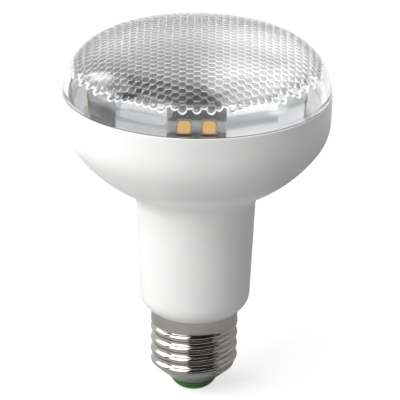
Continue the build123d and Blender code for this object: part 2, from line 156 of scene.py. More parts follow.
# %% A bench for node trees
class Bench:
    """A node tree on the bench. node() makes any node: its settings are set first, then its sockets."""

    def __init__(self, owner):
        owner.use_nodes = True
        self.owner = owner
        self.tree = owner.node_tree
        self.tree.nodes.clear()

    def node(self, kind, sockets=None, **settings):
        made = self.tree.nodes.new(kind)
        for name, value in settings.items():
            setattr(made, name, value)
        for place, value in (sockets or {}).items():
            if isinstance(value, Wire):
                self.tree.links.new(value.socket, made.inputs[place])
            else:
                made.inputs[place].default_value = value
        wires = [Wire(self, socket) for socket in made.outputs]
        results = {wire.socket.name: wire for wire in reversed(wires)}
        results.update(enumerate(wires))
        return results

    def place(self):
        """Object coordinates, in metres in the lamp's own frame."""
        return self.node("ShaderNodeTexCoord")["Object"]

    def axes(self, vector):
        """The three parts of a vector."""
        parts = self.node("ShaderNodeSeparateXYZ", {0: vector})
        return parts[0], parts[1], parts[2]

    def grain(self, size, detail=2.0, stretch=(1, 1, 1)):
        """Cloudy noise from 0 to 1 with blots of about this size in millimetres."""
        where = self.node("ShaderNodeVectorMath", {0: self.place(), 1: stretch}, operation="MULTIPLY")[0]
        sockets = {"Vector": where, "Scale": 1 / (size * MM), "Detail": detail}
        return self.node("ShaderNodeTexNoise", sockets)[0]

    def ramp(self, value, start, end):
        """Smooth rise from 0 where the value is at its start to 1 where it is at its end."""
        sockets = {"Value": value, "From Min": start, "From Max": end}
        return self.node("ShaderNodeMapRange", sockets, interpolation_type="SMOOTHSTEP")[0]

    def blend(self, share, first, second):
        """Colour between two colours. A Mix node takes them in its sockets 6 and 7 and gives output 2."""
        return self.node("ShaderNodeMix", {0: share, 6: first, 7: second}, data_type="RGBA")[2]

    def relief(self, height, depth):
        """Normal of a surface whose height varies by this depth in millimetres."""
        return self.node("ShaderNodeBump", {"Height": height, "Distance": depth * MM})[0]

    def cover(self, share, under, over):
        """Shader that is the one under where the share is 0 and the one over it where the share is 1."""
        return self.node("ShaderNodeMixShader", {0: share, 1: under, 2: over})[0]

    def finish(self, shader, output="ShaderNodeOutputMaterial"):
        """Joins a shader to the tree's output and gives what the tree belongs to."""
        self.node(output, {"Surface": shader})
        return self.owner

    def plain_finish(self, sockets):
        """Finish that is one Principled shader."""
        return self.finish(self.node("ShaderNodeBsdfPrincipled", sockets)[0])


def rgb(red, green, blue):
    """Colour written in the 0 to 255 values of a picture, as linear light by the sRGB curve."""
    share = np.array([red, green, blue]) / 255
    linear = np.where(share <= 0.04045, share / 12.92, ((share + 0.055) / 1.055) ** 2.4)
    return (*linear.tolist(), 1.0)


def new_bench(name):
    """Bench with an empty material of this name."""
    return Bench(bpy.data.materials.new(name))


print("the bench is ready")

# %% [markdown]
# ## Floor and room
# The lamp stands on a pale floor in a white room. Both could be lit until they are white, but then the
# lamp would be far too bright. Instead they are lifted to white only where the camera, a mirror or a clear
# body looks at them, so the lift lights nothing and the floor keeps the lamp's shadow. What stands round
# the lamp is measured in metres.

# %% Floor and room
floor_reach = 6.0
floor_dark = rgb(202, 202, 202)
floor_light = rgb(208, 208, 208)
floor_lift = 0.66
ambient = 0.25


def seen_straight(bench):
    """One where the camera, a mirror or a clear body looks, and zero for light that falls on things."""
    path = bench.node("ShaderNodeLightPath")
    return path["Is Camera Ray"].larger(path["Is Glossy Ray"]).larger(path["Is Transmission Ray"])


def floor_paint():
    """Pale matt floor that is lifted to white where it is looked at, and keeps its shadows."""
    bench = new_bench("pale_floor")
    paint = bench.blend(bench.grain(size=40), floor_dark, floor_light)
    matt = bench.node("ShaderNodeBsdfDiffuse", {"Color": paint})[0]
    lift = bench.node("ShaderNodeEmission", {"Strength": floor_lift * seen_straight(bench)})[0]
    return bench.finish(bench.node("ShaderNodeAddShader", {0: matt, 1: lift})[0])


def room():
    """White world for eyes and mirrors, and a softer level of light from all sides."""
    bench = Bench(bpy.data.worlds.new("room"))
    level = ambient + (1 - ambient) * seen_straight(bench)
    light = bench.node("ShaderNodeBackground", {"Strength": level})[0]
    return bench.finish(light, "ShaderNodeOutputWorld")


half = floor_reach / 2
floor_corners = [(-half, -half, 0), (half, -half, 0), (half, half, 0), (-half, half, 0)]
floor_mesh = bpy.data.meshes.new("floor")
floor_mesh.from_pydata(floor_corners, [], [(0, 1, 2, 3)])
floor = bpy.data.objects.new("floor", floor_mesh)
scene.collection.objects.link(floor)
floor.data.materials.append(floor_paint())
scene.world = room()
print(f"floor of {floor_reach} m and a room with {ambient} of its light on things")

# %% [markdown]
# ## Soft boxes
# Two large soft boxes light the lamp from the left, and a small one above lifts the inside of the lens.
# Area lamps give such soft light. Their power grows with their size, so they are set by their brightness,
# which stays the same when a box is made larger. Clear bodies don't see them, or the honeycomb would
# sparkle.

# %% Soft boxes
lamp_aim = Vector((0, 0, 60.0)) * MM


def towards(azimuth, elevation):
    """Unit vector to the right of the camera's side by azimuth and up by elevation, in degrees."""
    turn, rise = math.radians(azimuth), math.radians(elevation)
    return Vector((math.sin(turn) * math.cos(rise), -math.cos(turn) * math.cos(rise), math.sin(rise)))


def soft_box(name, azimuth, elevation, distance, size, radiance, mirrored=True):
    """Area lamp that faces the bulb, sides in metres. Its power is radiance times pi times its area."""
    light = bpy.data.lights.new(name, "AREA")
    light.shape = "RECTANGLE"
    light.size, light.size_y = size
    light.energy = radiance * math.pi * size[0] * size[1]
    box = bpy.data.objects.new(name, light)
    direction = towards(azimuth, elevation)
    box.matrix_world = direction.to_track_quat("Z", "Y").to_matrix().to_4x4()
    box.matrix_world.translation = lamp_aim + direction * distance
    box.visible_camera = False
    box.visible_glossy = mirrored
    box.visible_transmission = False
    scene.collection.objects.link(box)


soft_box("front_left_box", azimuth=-46, elevation=32, distance=0.9, size=(0.70, 0.90), radiance=3.6)
soft_box("left_box", azimuth=-107, elevation=38, distance=0.9, size=(0.72, 0.60), radiance=2.9)
soft_box("top_box", azimuth=90, elevation=88, distance=0.12, size=(0.05, 0.07), radiance=9, mirrored=False)

# %% [markdown]
# ## Felt and paper
# What nickel and a clear lens show is the room, not the light on them. A studio puts sheets of felt and
# paper round such a thing to draw dark and bright lines on it. Painting those lines on the lamp would
# leave them there when it turns, so the sheets are built, and only mirrors and clear bodies see them.
# Each sheet is a bent card: a line of radius and height carried part of the way round the lamp.

# %% Bent cards
card_steps = 24
cards = []


def around(radius, height, angles):
    """Surface x = r cos a, y = r sin a, z = h over all rows of r and h and all angles a."""
    radius = np.broadcast_to(radius, (len(height), len(angles)))
    height = np.broadcast_to(height[:, None], radius.shape)
    return np.stack([radius * np.cos(angles), radius * np.sin(angles), height], axis=-1).reshape(-1, 3)


def quads(number):
    """Corner numbers of the four-sided faces between the rows and columns of a grid of numbered points."""
    corners = [number[:-1, :-1], number[:-1, 1:], number[1:, 1:], number[1:, :-1]]
    return np.stack(corners, axis=-1).reshape(-1, 4)


def bent_card(name, start, end, profile, material, mirrored=True, through=True):
    """Profile of (radius, height) in metres carried round the lamp from one azimuth to another, in degrees.

    Mirrors see the card where mirrored is true, and clear bodies where through is true. Nothing else does.
    """
    angles = np.radians(np.linspace(start, end, card_steps + 1)) - np.pi / 2
    line = np.array(profile)
    points = around(line[:, :1], line[:, 1], angles)
    number = np.arange(len(points)).reshape(len(line), len(angles))
    mesh = bpy.data.meshes.new(name)
    mesh.from_pydata(points.tolist(), [], quads(number).tolist())
    mesh.materials.append(material)
    card = bpy.data.objects.new(name, mesh)
    scene.collection.objects.link(card)
    card.visible_camera = False
    card.visible_diffuse = False
    card.visible_shadow = False
    card.visible_glossy = mirrored
    card.visible_transmission = through
    cards.append(name)


def felt(name, dark, light):
    """Dull cloth between two tones."""
    bench = new_bench(name)
    cloth = bench.blend(bench.grain(size=3), dark, light)
    return bench.finish(bench.node("ShaderNodeBsdfDiffuse", {"Color": cloth})[0])


def bright_paper(name, level):
    """Evenly bright sheet."""
    bench = new_bench(name)
    return bench.finish(bench.node("ShaderNodeEmission", {"Strength": level})[0])


print(f"a card bends in {card_steps} steps")

# %% Felts round the lamp
low_sheet = 0.001
high_sheet = 0.002
front_screen = [(0.22, low_sheet), (0.22, 0.40), (0.05, 0.40)]
floor_ring = [(0.001, low_sheet), (0.14, low_sheet)]
floor_strip = [(0.15, low_sheet), (0.45, low_sheet)]
low_hood = [(0.08, 0.012), (0.08, 0.066), (0.030, 0.070)]
apron = [(0.018, high_sheet), (0.055, high_sheet)]
right_screen = [(0.12, high_sheet), (0.45, high_sheet), (0.45, 0.45)]
left_screen = [(0.5, 0.02), (0.5, 0.9)]
back_screen = [(0.12, low_sheet), (0.30, low_sheet), (0.30, 0.36)]

black = felt("black_felt", rgb(20, 20, 20), rgb(34, 34, 34))
grey = felt("grey_felt", rgb(110, 110, 106), rgb(122, 122, 118))
dim = felt("dim_felt", rgb(146, 146, 144), rgb(156, 156, 154))
pale = felt("pale_felt", rgb(184, 184, 182), rgb(196, 196, 194))
ring = felt("ring_felt", floor_dark, floor_light)
white = bright_paper("white_glow", level=1.3)

bent_card("front_felt", -20, 18, front_screen, dim)
bent_card("floor_ring", -180, 180, floor_ring, ring, through=False)
bent_card("left_floor_felt", -80, -40, floor_strip, ring, mirrored=False)
bent_card("front_hood", -15, 66, low_hood, black, through=False)
bent_card("front_apron", -12, 50, apron, black, through=False)
bent_card("right_hood", 66, 165, low_hood, pale, through=False)
bent_card("right_card", 36, 140, right_screen, white, mirrored=False)
bent_card("left_felt", -84, -69, left_screen, black, through=False)
bent_card("back_left_felt", -140, -100, back_screen, grey, mirrored=False)
print(f"{len(cards)} cards stand round the lamp")

# %% [markdown]
# ## A tent of bright cloth
# The dome mirrors what stands behind and above it. A white room there lays an even veil over the
# honeycomb, while the photograph shows the veil bright on the right and thin above the LEDs. A picture of
# a studio could be wrapped round the scene, but part of a sphere whose glow is a sum of smooth ramps is
# easier to steer. Two round glows on cards of their own give the two highlights on the lens's shoulder.

# %% Tent
tent_radius = 0.3
tent_middle = 0.1
tent_start = 18
tent_end = 240
tent_rows = 12
tent_strength = 8.0


def tent_cloth():
    """Bright cloth, brightest high up on the right, which fades out at its foot, its front and its ends."""
    bench = new_bench("tent_glow")
    x, y, z = bench.axes(bench.place())
    ramp = bench.ramp
    right_band = 0.18 * ramp(x, -0.01, 0.04) * (1.0 - ramp(x, 0.20, 0.26))
    high_right = 0.50 * ramp(x, 0.08, 0.22) * ramp(z, 0.20, 0.30)
    top = 0.65 * ramp(x, -0.02, 0.06) * ramp(z, 0.26, 0.34)
    level = 0.34 + right_band + high_right + top
    start, end = math.radians(tent_start), math.radians(tent_end)
    past_start = math.cos(start) * x + math.sin(start) * y
    before_end = -math.cos(end) * x - math.sin(end) * y
    foot = ramp(z, 0.12, 0.24)
    front = ramp(y, -0.15, 0.0).larger(ramp(x, 0.03, 0.12) * ramp(y, -0.26, -0.16))
    right_end = ramp(past_start, 0.0, 0.03).larger(ramp(y, 0.0, 0.03))
    left_end = ramp(before_end, 0.0, 0.05).larger(ramp(x, 0.0, 0.03))
    cloth = bench.node("ShaderNodeEmission", {"Color": level, "Strength": tent_strength})[0]
    clear = bench.node("ShaderNodeBsdfTransparent")[0]
    return bench.finish(bench.cover(foot * front * right_end * left_end, clear, cloth))


rise = np.radians(np.linspace(0, 90, tent_rows + 1))
tent_line = np.stack([tent_radius * np.cos(rise), tent_middle + tent_radius * np.sin(rise)], axis=1)
bent_card("tent", tent_start, tent_end, tent_line, tent_cloth(), through=False)
print(f"a tent of {tent_radius} m stands behind the lamp")

# %% Round glows
glow_distance = 0.5
glow_core = 0.4


def round_glow(name, centre, radius, level):
    """Glow about a point that is even in its core and fades out towards its rim."""
    bench = new_bench(name)
    sockets = {0: bench.place(), 1: centre}
    away = bench.node("ShaderNodeVectorMath", sockets, operation="DISTANCE")["Value"]
    share = bench.ramp(away, radius, glow_core * radius)
    bright = bench.node("ShaderNodeEmission", {"Strength": level})[0]
    clear = bench.node("ShaderNodeBsdfTransparent")[0]
    return bench.finish(bench.cover(share, clear, bright))


def glow_card(name, azimuth, elevation, radius, level):
    """Bent card with a round glow in its middle, at the glow's distance from the middle of the tent."""
    reach = glow_distance * math.cos(math.radians(elevation))
    middle = glow_distance * towards(azimuth, elevation) + Vector((0, 0, tent_middle))
    spread = math.degrees(radius / reach)
    profile = [(reach, middle.z - radius), (reach, middle.z + radius)]
    material = round_glow(name, tuple(middle), radius, level)
    bent_card(name, azimuth - spread, azimuth + spread, profile, material, through=False)


glow_card("left_spot", azimuth=-124, elevation=36, radius=0.15, level=11.0)
glow_card("right_spot", azimuth=71, elevation=19, radius=0.13, level=12.0)
print(f"{len(cards)} cards with the tent and the glows")

# %% [markdown]
# ## Surfaces from numbers
# Most pieces of a lamp are turned: a profile of radius and height swept round the axis. Blender has a
# Screw modifier for that, but a grid of numbers keeps full control and takes the thread and the honeycomb
# as well. A profile is put together from arcs and straight stretches, and the grid is closed round the
# axis.

# %% Profiles
largest_ease = 0.45


def arc(centre, radius, start, end, steps):
    """Points of a circle between two angles in degrees: centre plus radius times cosine and sine."""
    angle = np.radians(np.linspace(start, end, steps + 1))
    return np.stack([centre[0] + radius * np.cos(angle), centre[1] + radius * np.sin(angle)], axis=1)


def eased(corners, radius, steps=4):
    """Corners joined by straight runs, each corner rounded.

    A rounding is the quadratic curve (1 - t)^2 P + 2 t (1 - t) C + t^2 Q from a point P on the run before
    the corner C to a point Q on the run after it.
    """
    corners = np.asarray(corners, float)
    before, here, after = corners[:-2], corners[1:-1], corners[2:]

    def pulled(there):
        run = there - here
        length = np.linalg.norm(run, axis=1, keepdims=True)
        return (here + run / length * np.minimum(radius, largest_ease * length))[:, None]

    t = np.linspace(0, 1, steps + 1)[None, :, None]
    bends = (1 - t) ** 2 * pulled(before) + 2 * t * (1 - t) * here[:, None] + t**2 * pulled(after)
    return np.vstack([corners[:1], bends.reshape(-1, 2), corners[-1:]])


print(f"a corner takes at most {largest_ease} of a run")

# %% Solid pieces
same_place = 1e-6
no_length = 1e-7


def closed_quads(rows, columns, first=0):
    """Faces of a grid whose last column meets its first, with its points numbered from first."""
    number = first + np.arange(rows * columns).reshape(rows, columns)
    return quads(np.hstack([number, number[:, :1]]))


def solid_piece(name, points, face_lists, crease=35.0):
    """Object from points in millimetres: doubles merged, faces outwards, smooth but for sharp creases."""
    mesh = bpy.data.meshes.new(name)
    mesh.from_pydata((points * MM).tolist(), [], [face for faces in face_lists for face in faces.tolist()])
    shape = bmesh.new()
    shape.from_mesh(mesh)
    bmesh.ops.remove_doubles(shape, verts=shape.verts, dist=same_place)
    bmesh.ops.dissolve_degenerate(shape, edges=shape.edges, dist=no_length)
    stray = [edge for edge in shape.edges if not edge.link_faces]
    bmesh.ops.delete(shape, geom=stray, context="EDGES")
    bmesh.ops.recalc_face_normals(shape, faces=shape.faces)
    loose = sum(not edge.is_manifold for edge in shape.edges)
    shape.to_mesh(mesh)
    shape.free()
    mesh.shade_smooth()
    mesh.set_sharp_from_angle(angle=math.radians(crease))
    piece = bpy.data.objects.new(name, mesh)
    scene.collection.objects.link(piece)
    print(f"{name}: {len(mesh.polygons)} faces, {loose} open edges")
    return piece


def turned(name, profile, turns=192):
    """Closed profile of (radius, height) swept round Z."""
    loop = np.vstack([profile, profile[:1]])
    angles = np.linspace(0, 2 * np.pi, turns, endpoint=False)
    points = around(loop[:, :1], loop[:, 1], angles)
    return solid_piece(name, points, [closed_quads(len(loop), turns)])


def stands_for(piece, node, material):
    """The piece takes the node's place on the lamp, with the slot's finish."""
    piece.data.materials.append(material)
    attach(piece, BODY)
    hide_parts(node)
    print(f"{piece.name} stands for {node}")


print(f"points nearer than {same_place / MM} mm are merged")

# %% [markdown]
# ## The lens
# The lens is one clear moulding. Outside it is a smooth dome with a rounded shoulder. Inside, its ceiling
# is a honeycomb of small round bumps that scatter the beam, and it ends in a scalloped edge above a clear
# band. The comb could be carved with a height map, but its borders are what the eye reads, so each
# six-sided cell is a small patch of its own whose sides fall exactly on its neighbours' sides. The comb
# is laid out flat and then wrapped onto the ceiling.

# %% Ceiling of the lens
land_height = 0.15
lens_land = seam + land_height
shoulder_radius = 15.0
dome_radius = 126.0
lens_wall = 2.8
shoulder_middle = lens_radius - shoulder_radius
dome_lean = math.asin(shoulder_middle / (dome_radius - shoulder_radius))
dome_inside = dome_radius - lens_wall
dome_reach = dome_inside * dome_lean
shoulder_inside = shoulder_radius - lens_wall
least_reach = 1e-9


def reach_of(radius):
    """Length along the lens's inside from the axis to a radius on its shoulder."""
    lean = math.asin((radius - shoulder_middle) / shoulder_inside)
    return dome_reach + shoulder_inside * (lean - dome_lean)


def vault(reach):
    """Radius, height and lean of the lens's inside at a length s along it from the axis.

    On the dome, a circle R about the axis, the lean is a = s / R. From the lean e on it is the shoulder's
    circle q: a = e + (s - R e) / q. The radius grows with sin a and the height with cos a.
    """
    on_dome = reach <= dome_reach
    circle = np.where(on_dome, dome_inside, shoulder_inside)
    shoulder_lean = dome_lean + (reach - dome_reach) / shoulder_inside
    lean = np.where(on_dome, reach / dome_inside, shoulder_lean)
    radius = np.where(on_dome, 0, shoulder_middle) + circle * np.sin(lean)
    height = np.where(on_dome, crown - dome_radius, lens_land) + circle * np.cos(lean)
    return radius, height, lean


def on_vault(place, depth):
    """A flat comb's (x, y) places wrapped onto the lens's inside, each moved further in by a depth."""
    reach = np.hypot(place[..., 0], place[..., 1])
    radius, height, lean = vault(reach)
    scale = (radius - depth * np.sin(lean)) / np.maximum(reach, least_reach)
    return np.concatenate([place * scale[..., None], (height - depth * np.cos(lean))[..., None]], axis=-1)


print(f"the dome turns into the shoulder {dome_reach:.1f} mm from the axis")

# %% Honeycomb
comb_pitch = 2.42
comb_radius = 35.82
comb_bulge = 0.60
cell_steps = 3
cell_corner = comb_pitch / math.sqrt(3)
comb_reach = reach_of(comb_radius)


def comb_centres():
    """Centres of the flat comb's cells that lie whole inside its circle, in columns along Y."""
    column = 1.5 * cell_corner
    columns = int(comb_reach / column) + 1
    rows = int(comb_reach / comb_pitch) + 2
    i, j = np.meshgrid(np.arange(-columns, columns + 1), np.arange(-rows, rows + 1), indexing="ij")
    centres = np.stack([i * column, (j + 0.5 * (i % 2)) * comb_pitch], axis=-1).reshape(-1, 2)
    return centres[np.hypot(*centres.T) + cell_corner <= comb_reach]


def free_of(centres):
    """Which of each cell's six sides have no cell across them."""
    beside = np.arange(6) * np.pi / 3 + np.pi / 6
    across = centres[:, None] + comb_pitch * np.stack([np.cos(beside), np.sin(beside)], axis=-1)
    return np.hypot(across[..., 0], across[..., 1]) + cell_corner > comb_reach


def flat_comb(centres, free):
    """Places (cell, sector, place, xy) of the flat comb and the heights of its bumps.

    A place at share s from the middle and t along a side lies at s ((1 - t) A + t B) between corners A
    and B, or on the arc through A and B where the side is free. The bump over it is a paraboloid.
    """
    row, step = np.tril_indices(cell_steps + 1)
    s = (row / cell_steps)[:, None]
    t = step / np.maximum(row, 1)
    sector = np.arange(6)[:, None] * np.pi / 3
    sweep = sector + t * np.pi / 3
    arc_place = cell_corner * s * np.stack([np.cos(sweep), np.sin(sweep)], axis=-1)
    near = np.stack([np.cos(sector), np.sin(sector)], axis=-1)
    far = np.stack([np.cos(sector + np.pi / 3), np.sin(sector + np.pi / 3)], axis=-1)
    flat_place = cell_corner * s * ((1 - t)[:, None] * near + t[:, None] * far)
    local = np.where(free[:, :, None, None], arc_place, flat_place)
    bump = comb_bulge * (1 - (local**2).sum(-1) / cell_corner**2)
    return centres[:, None, None] + local, bump


def sector_faces():
    """Triangles of one sector, whose row r starts at point r (r + 1) / 2 and has r + 1 points."""
    row, step = np.tril_indices(cell_steps)
    here = row * (row + 1) // 2 + step
    below = here + row + 1
    pointing_in = np.stack([here, below, below + 1], axis=1)
    pointing_out = np.stack([here, below + 1, here + 1], axis=1)[step < row]
    return np.vstack([pointing_in, pointing_out])


centres = comb_centres()
free_sides = free_of(centres)
comb_places, comb_bumps = flat_comb(centres, free_sides)
print(f"{len(centres)} cells, {free_sides.sum()} free sides on the comb's edge")

# %% Lens body
lens_lift = 0.04
lens_skirt = 38.15
lens_bore = lens_radius - lens_wall
lens_edge_ease = 0.22
lens_crease = 30.0
dome_steps = 24
shoulder_steps = 28
bore_steps = 8
comb_step = 0.7
comb_chamfer = 0.75
border_steps = 4
border_radius = 36.55
border_reach = reach_of(border_radius)


def lens_profile():
    """From the crown over dome and shoulder, round the flange and the skirt, up the bore to the border."""
    lean = 90 - math.degrees(dome_lean)
    dome = arc((0, crown - dome_radius), dome_radius, 90, lean, dome_steps)
    side = arc((shoulder_middle, lens_land), shoulder_radius, lean, 0, shoulder_steps)
    flange_foot = seam + lens_lift
    under = [side[-1], (lens_radius, flange_foot), (lens_skirt, flange_foot), (lens_skirt, skirt_foot)]
    under += [(lens_bore, skirt_foot), (lens_bore, lens_land)]
    border_lean = 90 - math.degrees(float(vault(border_reach)[2]))
    inside = arc((shoulder_middle, lens_land), shoulder_inside, 0, border_lean, bore_steps)
    return np.vstack([dome, side[1:-1], eased(under, lens_edge_ease), inside[1:]])


def comb_edge(points):
    """The comb's free sides in order round the axis: their points, with the last of each side left out."""
    sides = points[free_sides][:, -(cell_steps + 1):]
    middle = sides.mean(axis=1)
    order = np.argsort(np.arctan2(middle[:, 1], middle[:, 0]))
    return sides[order, :-1].reshape(-1, points.shape[-1])


def lens():
    """Comb, the smooth border round it, and the turned body, whose columns follow the comb's edge."""
    comb_points = on_vault(comb_places, comb_step + comb_bumps)
    edge = comb_edge(comb_places)
    angles = np.maximum.accumulate(np.unwrap(np.arctan2(edge[:, 1], edge[:, 0])))
    share = np.linspace(0, 1, border_steps + 1)[:, None]
    foot = np.hypot(edge[:, 0], edge[:, 1]) + comb_chamfer
    radius, height, _ = vault((1 - share) * foot + share * border_reach)
    border = np.stack([radius * np.cos(angles), radius * np.sin(angles), height], axis=-1)
    skirting = np.vstack([comb_edge(comb_points), border.reshape(-1, 3)])
    profile = lens_profile()
    body = around(profile[:, :1], profile[:, 1], angles)
    cells = comb_points.reshape(-1, 3)
    patches = np.arange(6 * len(centres))[:, None, None] * comb_points.shape[2] + sector_faces()
    rings = closed_quads(border_steps + 2, len(edge), len(cells))
    walls = closed_quads(len(profile), len(edge), len(cells) + len(skirting))
    points = np.vstack([cells, skirting, body])
    return solid_piece("clear_lens", points, [patches.reshape(-1, 3), rings, walls], lens_crease)


lens_piece = lens()

# %% [markdown]
# ## Clear plastic
# A clear moulding bends what is seen through it, so its shader needs real refraction. Light through a
# refracting wall is slow to find its way, and the inside of the lens would stay dark and grainy, so the
# lamps' light passes straight through instead. The slope along the comb's edge is matt and white, and the
# joint above the housing is a dull line of painted shade. Both are found from where a place lies on the
# lens.

# %% Clear plastic
joint_height = 0.32
slope_margin = 0.03
slope_top = 8.0


def slope_share(bench):
    """One on the slope along the comb's edge: places a little inside the shoulder's inner circle."""
    x, y, z = bench.axes(bench.place())
    out = (x * x + y * y).root() - shoulder_middle * MM
    up = z - lens_land * MM
    depth = shoulder_inside * MM - (out * out + up * up).root()
    return (depth > slope_margin * MM) * (depth < (comb_step - slope_margin) * MM) * (up < slope_top * MM)


def joint_shade_share(bench):
    """One on the lowest part of the flange's outer side, where the joint's shade is painted on as a dull
    colour.
    """
    x, y, z = bench.axes(bench.place())
    outside = (x * x + y * y).root() > (lens_radius - joint_height) * MM
    return outside * (z < (seam + joint_height) * MM)


def clear_plastic():
    """Clear moulding: refracts what is behind it, and lets the lamps' light through to the inside."""
    bench = new_bench("clear_plastic")
    haze = bench.grain(size=9)
    tint = bench.blend(haze, rgb(250, 251, 252), rgb(255, 255, 255))
    sockets = {"Base Color": tint, "Roughness": 0.015 * haze, "IOR": 1.49, "Transmission Weight": 1.0}
    clear = bench.node("ShaderNodeBsdfPrincipled", sockets)[0]
    matt = bench.node("ShaderNodeBsdfDiffuse", {"Color": rgb(204, 204, 204)})[0]
    # A dull brown-grey on the flange's foot: painted shade in the joint above the housing.
    painted_joint_shade = bench.node("ShaderNodeBsdfDiffuse", {"Color": rgb(112, 108, 104)})[0]
    through = bench.node("ShaderNodeBsdfTransparent", {"Color": rgb(246, 247, 248)})[0]
    body = bench.cover(slope_share(bench), clear, matt)
    body = bench.cover(joint_shade_share(bench), body, painted_joint_shade)
    shadow = bench.node("ShaderNodeLightPath")["Is Shadow Ray"]
    return bench.finish(bench.cover(shadow, body, through))


stands_for(lens_piece, "lens", clear_plastic())

# %% [markdown]
# ## The housing
# The housing is a white moulding from the lens's seat down to a spigot inside the cap. Its side is a
# chain of arcs and straight runs, each leaning more or less inwards. A curve with handles could be drawn
# over the photograph, but then its sizes are nowhere to be read, so the profile is reckoned stretch by
# stretch: a lean of zero is upright, and on an arc the outward direction turns while the place follows
# it.

# %% Housing side
head_wall = 8.0
head_draft = 1.4
head_turn = 14.2
head_steps = 24
flare_leans = (35.0, 63.0)
flare_steps = 32
neck_turn = 7.0
neck_radius = 17.9
neck_draft = 2.5
neck_steps = 24
foot_turn = 6.0
foot_lean = 50.0
foot_steps = 12
cap_seat_radius = 13.2


def outward(lean):
    """Outward direction of a wall that leans inwards going down: cosine along the radius, sine down."""
    lean = np.radians(lean)
    return np.stack([np.cos(lean), -np.sin(lean)], axis=-1)


def bend(place, radius, start, end, steps):
    """Arc that begins at a place: the place moves by radius times the change of the outward direction."""
    return place + radius * (outward(np.linspace(start, end, steps + 1)) - outward(start))


def straight(place, length, lean):
    """Straight run downwards at a lean."""
    direction = np.array([-math.sin(math.radians(lean)), -math.cos(math.radians(lean))])
    return np.stack([place, place + length * direction])


def housing_side():
    """Seam to cap seat. The flare fills what is left across, and neck and foot what is left in height."""
    wall = straight(np.array([head_radius, seam]), head_wall, head_draft)
    head = bend(wall[-1], head_turn, head_draft, flare_leans[0], head_steps)
    neck_step = -neck_turn * (outward(neck_draft) - outward(flare_leans[1]))
    fall = head[-1, 0] + neck_step[0] - neck_radius
    flare_turn = fall / (outward(flare_leans[0]) - outward(flare_leans[1]))[0]
    flare = bend(head[-1], flare_turn, *flare_leans, flare_steps)
    waist = bend(flare[-1], -neck_turn, flare_leans[1], neck_draft, neck_steps)
    foot_step = foot_turn * (outward(foot_lean) - outward(neck_draft))
    drop = waist[-1, 1] + foot_step[1] - cap_top
    across = neck_radius + foot_step[0] - cap_seat_radius
    neck_slope, foot_slope = math.tan(math.radians(neck_draft)), math.tan(math.radians(foot_lean))
    foot_drop = (across - drop * neck_slope) / (foot_slope - neck_slope)
    neck = straight(waist[-1], (drop - foot_drop) / math.cos(math.radians(neck_draft)), neck_draft)
    curve = bend(neck[-1], foot_turn, neck_draft, foot_lean, foot_steps)
    foot = straight(curve[-1], foot_drop / math.cos(math.radians(foot_lean)), foot_lean)
    return np.vstack([wall[1:], head[1:], flare[1:], waist[1:], neck[1:], curve[1:], foot[1:]])


print(f"the housing's side has {len(housing_side())} points")

# %% Housing body
housing_wall = 2.0
housing_turns = 256
seat_radius = 38.25
ledge_radius = 35.55
ledge = seam - 5.2
spigot_radius = 11.7
spigot_bore = 10.2
spigot_foot = cap_top - 16.5
rim_ease = 0.45


def inside_of(side, depth):
    """The same line moved square to itself by a depth towards the axis."""
    run = np.gradient(side, axis=0)
    run = run / np.linalg.norm(run, axis=1, keepdims=True)
    return side + depth * np.stack([run[:, 1], -run[:, 0]], axis=1)


def housing():
    """Outer side, cap spigot, inner side, ledge and lens seat as one closed profile."""
    side = housing_side()
    inner = inside_of(side, housing_wall)
    inner = inner[(inner[:, 0] > spigot_bore) & (inner[:, 0] < ledge_radius) & (inner[:, 1] < ledge)]
    spigot = [(spigot_radius, cap_top), (spigot_radius, spigot_foot), (spigot_bore, spigot_foot)]
    spigot += [(spigot_bore, inner[-1, 1])]
    seat = [(ledge_radius, inner[0, 1]), (ledge_radius, ledge), (seat_radius, ledge), (seat_radius, seam)]
    rim = eased([seat[-1], (head_radius, seam), side[0]], rim_ease)
    return turned("white_housing", np.vstack([rim[1:-1], side, spigot, inner[::-1], seat]), housing_turns)


housing_piece = housing()

# %% [markdown]
# ## White moulding
# The real housing is white plastic with a satin gloss. One flat white would look like paper. Such a
# moulding has faint clouds in its colour and a fine peel like an orange's in its gloss, and a noise for
# each of them is enough, at the size that the eye knows from such plastic.

# %% White moulding
def white_plastic():
    """White satin moulding: faint clouds in the colour, and a fine orange peel in the gloss."""
    bench = new_bench("white_plastic")
    peel = bench.grain(size=0.9, detail=3)
    return bench.plain_finish({
        "Base Color": bench.blend(bench.grain(size=14), rgb(236, 236, 235), rgb(242, 242, 241)),
        "Roughness": 0.30 + 0.10 * peel,
        "Normal": bench.relief(peel, depth=0.012),
    })


stands_for(housing_piece, "housing", white_plastic())

# %% [markdown]
# ## The screw cap
# The cap is thin sheet with a thread rolled into it: round crests, round roots and nothing flat between
# them. A helix could be swept along a path, but then its ends have to be joined to the cone and the
# collar. As a function of height and angle it is one wave on the radius, which a soft minimum fades into
# the cone below and a soft maximum into the collar above.

# %% Cap
cap_tip_radius = 7.05
thread_root_radius = 12.1
thread_crest_radius = 13.15
thread_pitch = 3.62
thread_start = cap_tip + 3.6
thread_end = cap_tip + 18.5
runout_slope = 2.2
runout_bend = 0.25
collar_radius = 13.1
collar_start = thread_end + 1.0
cone_height = 4.4
cone_slope = (thread_root_radius - cap_tip_radius) / cone_height
cap_sheet = 0.3
sheet_bend = 0.35
cap_turns = 224
cap_rows = 150
cap_crease = 60.0


def soft_least(a, b, bend):
    """Smaller of two values with a rounded meeting: half of a + b - root((a - b)^2 + bend^2)."""
    return 0.5 * (a + b - np.sqrt((a - b) ** 2 + bend**2))


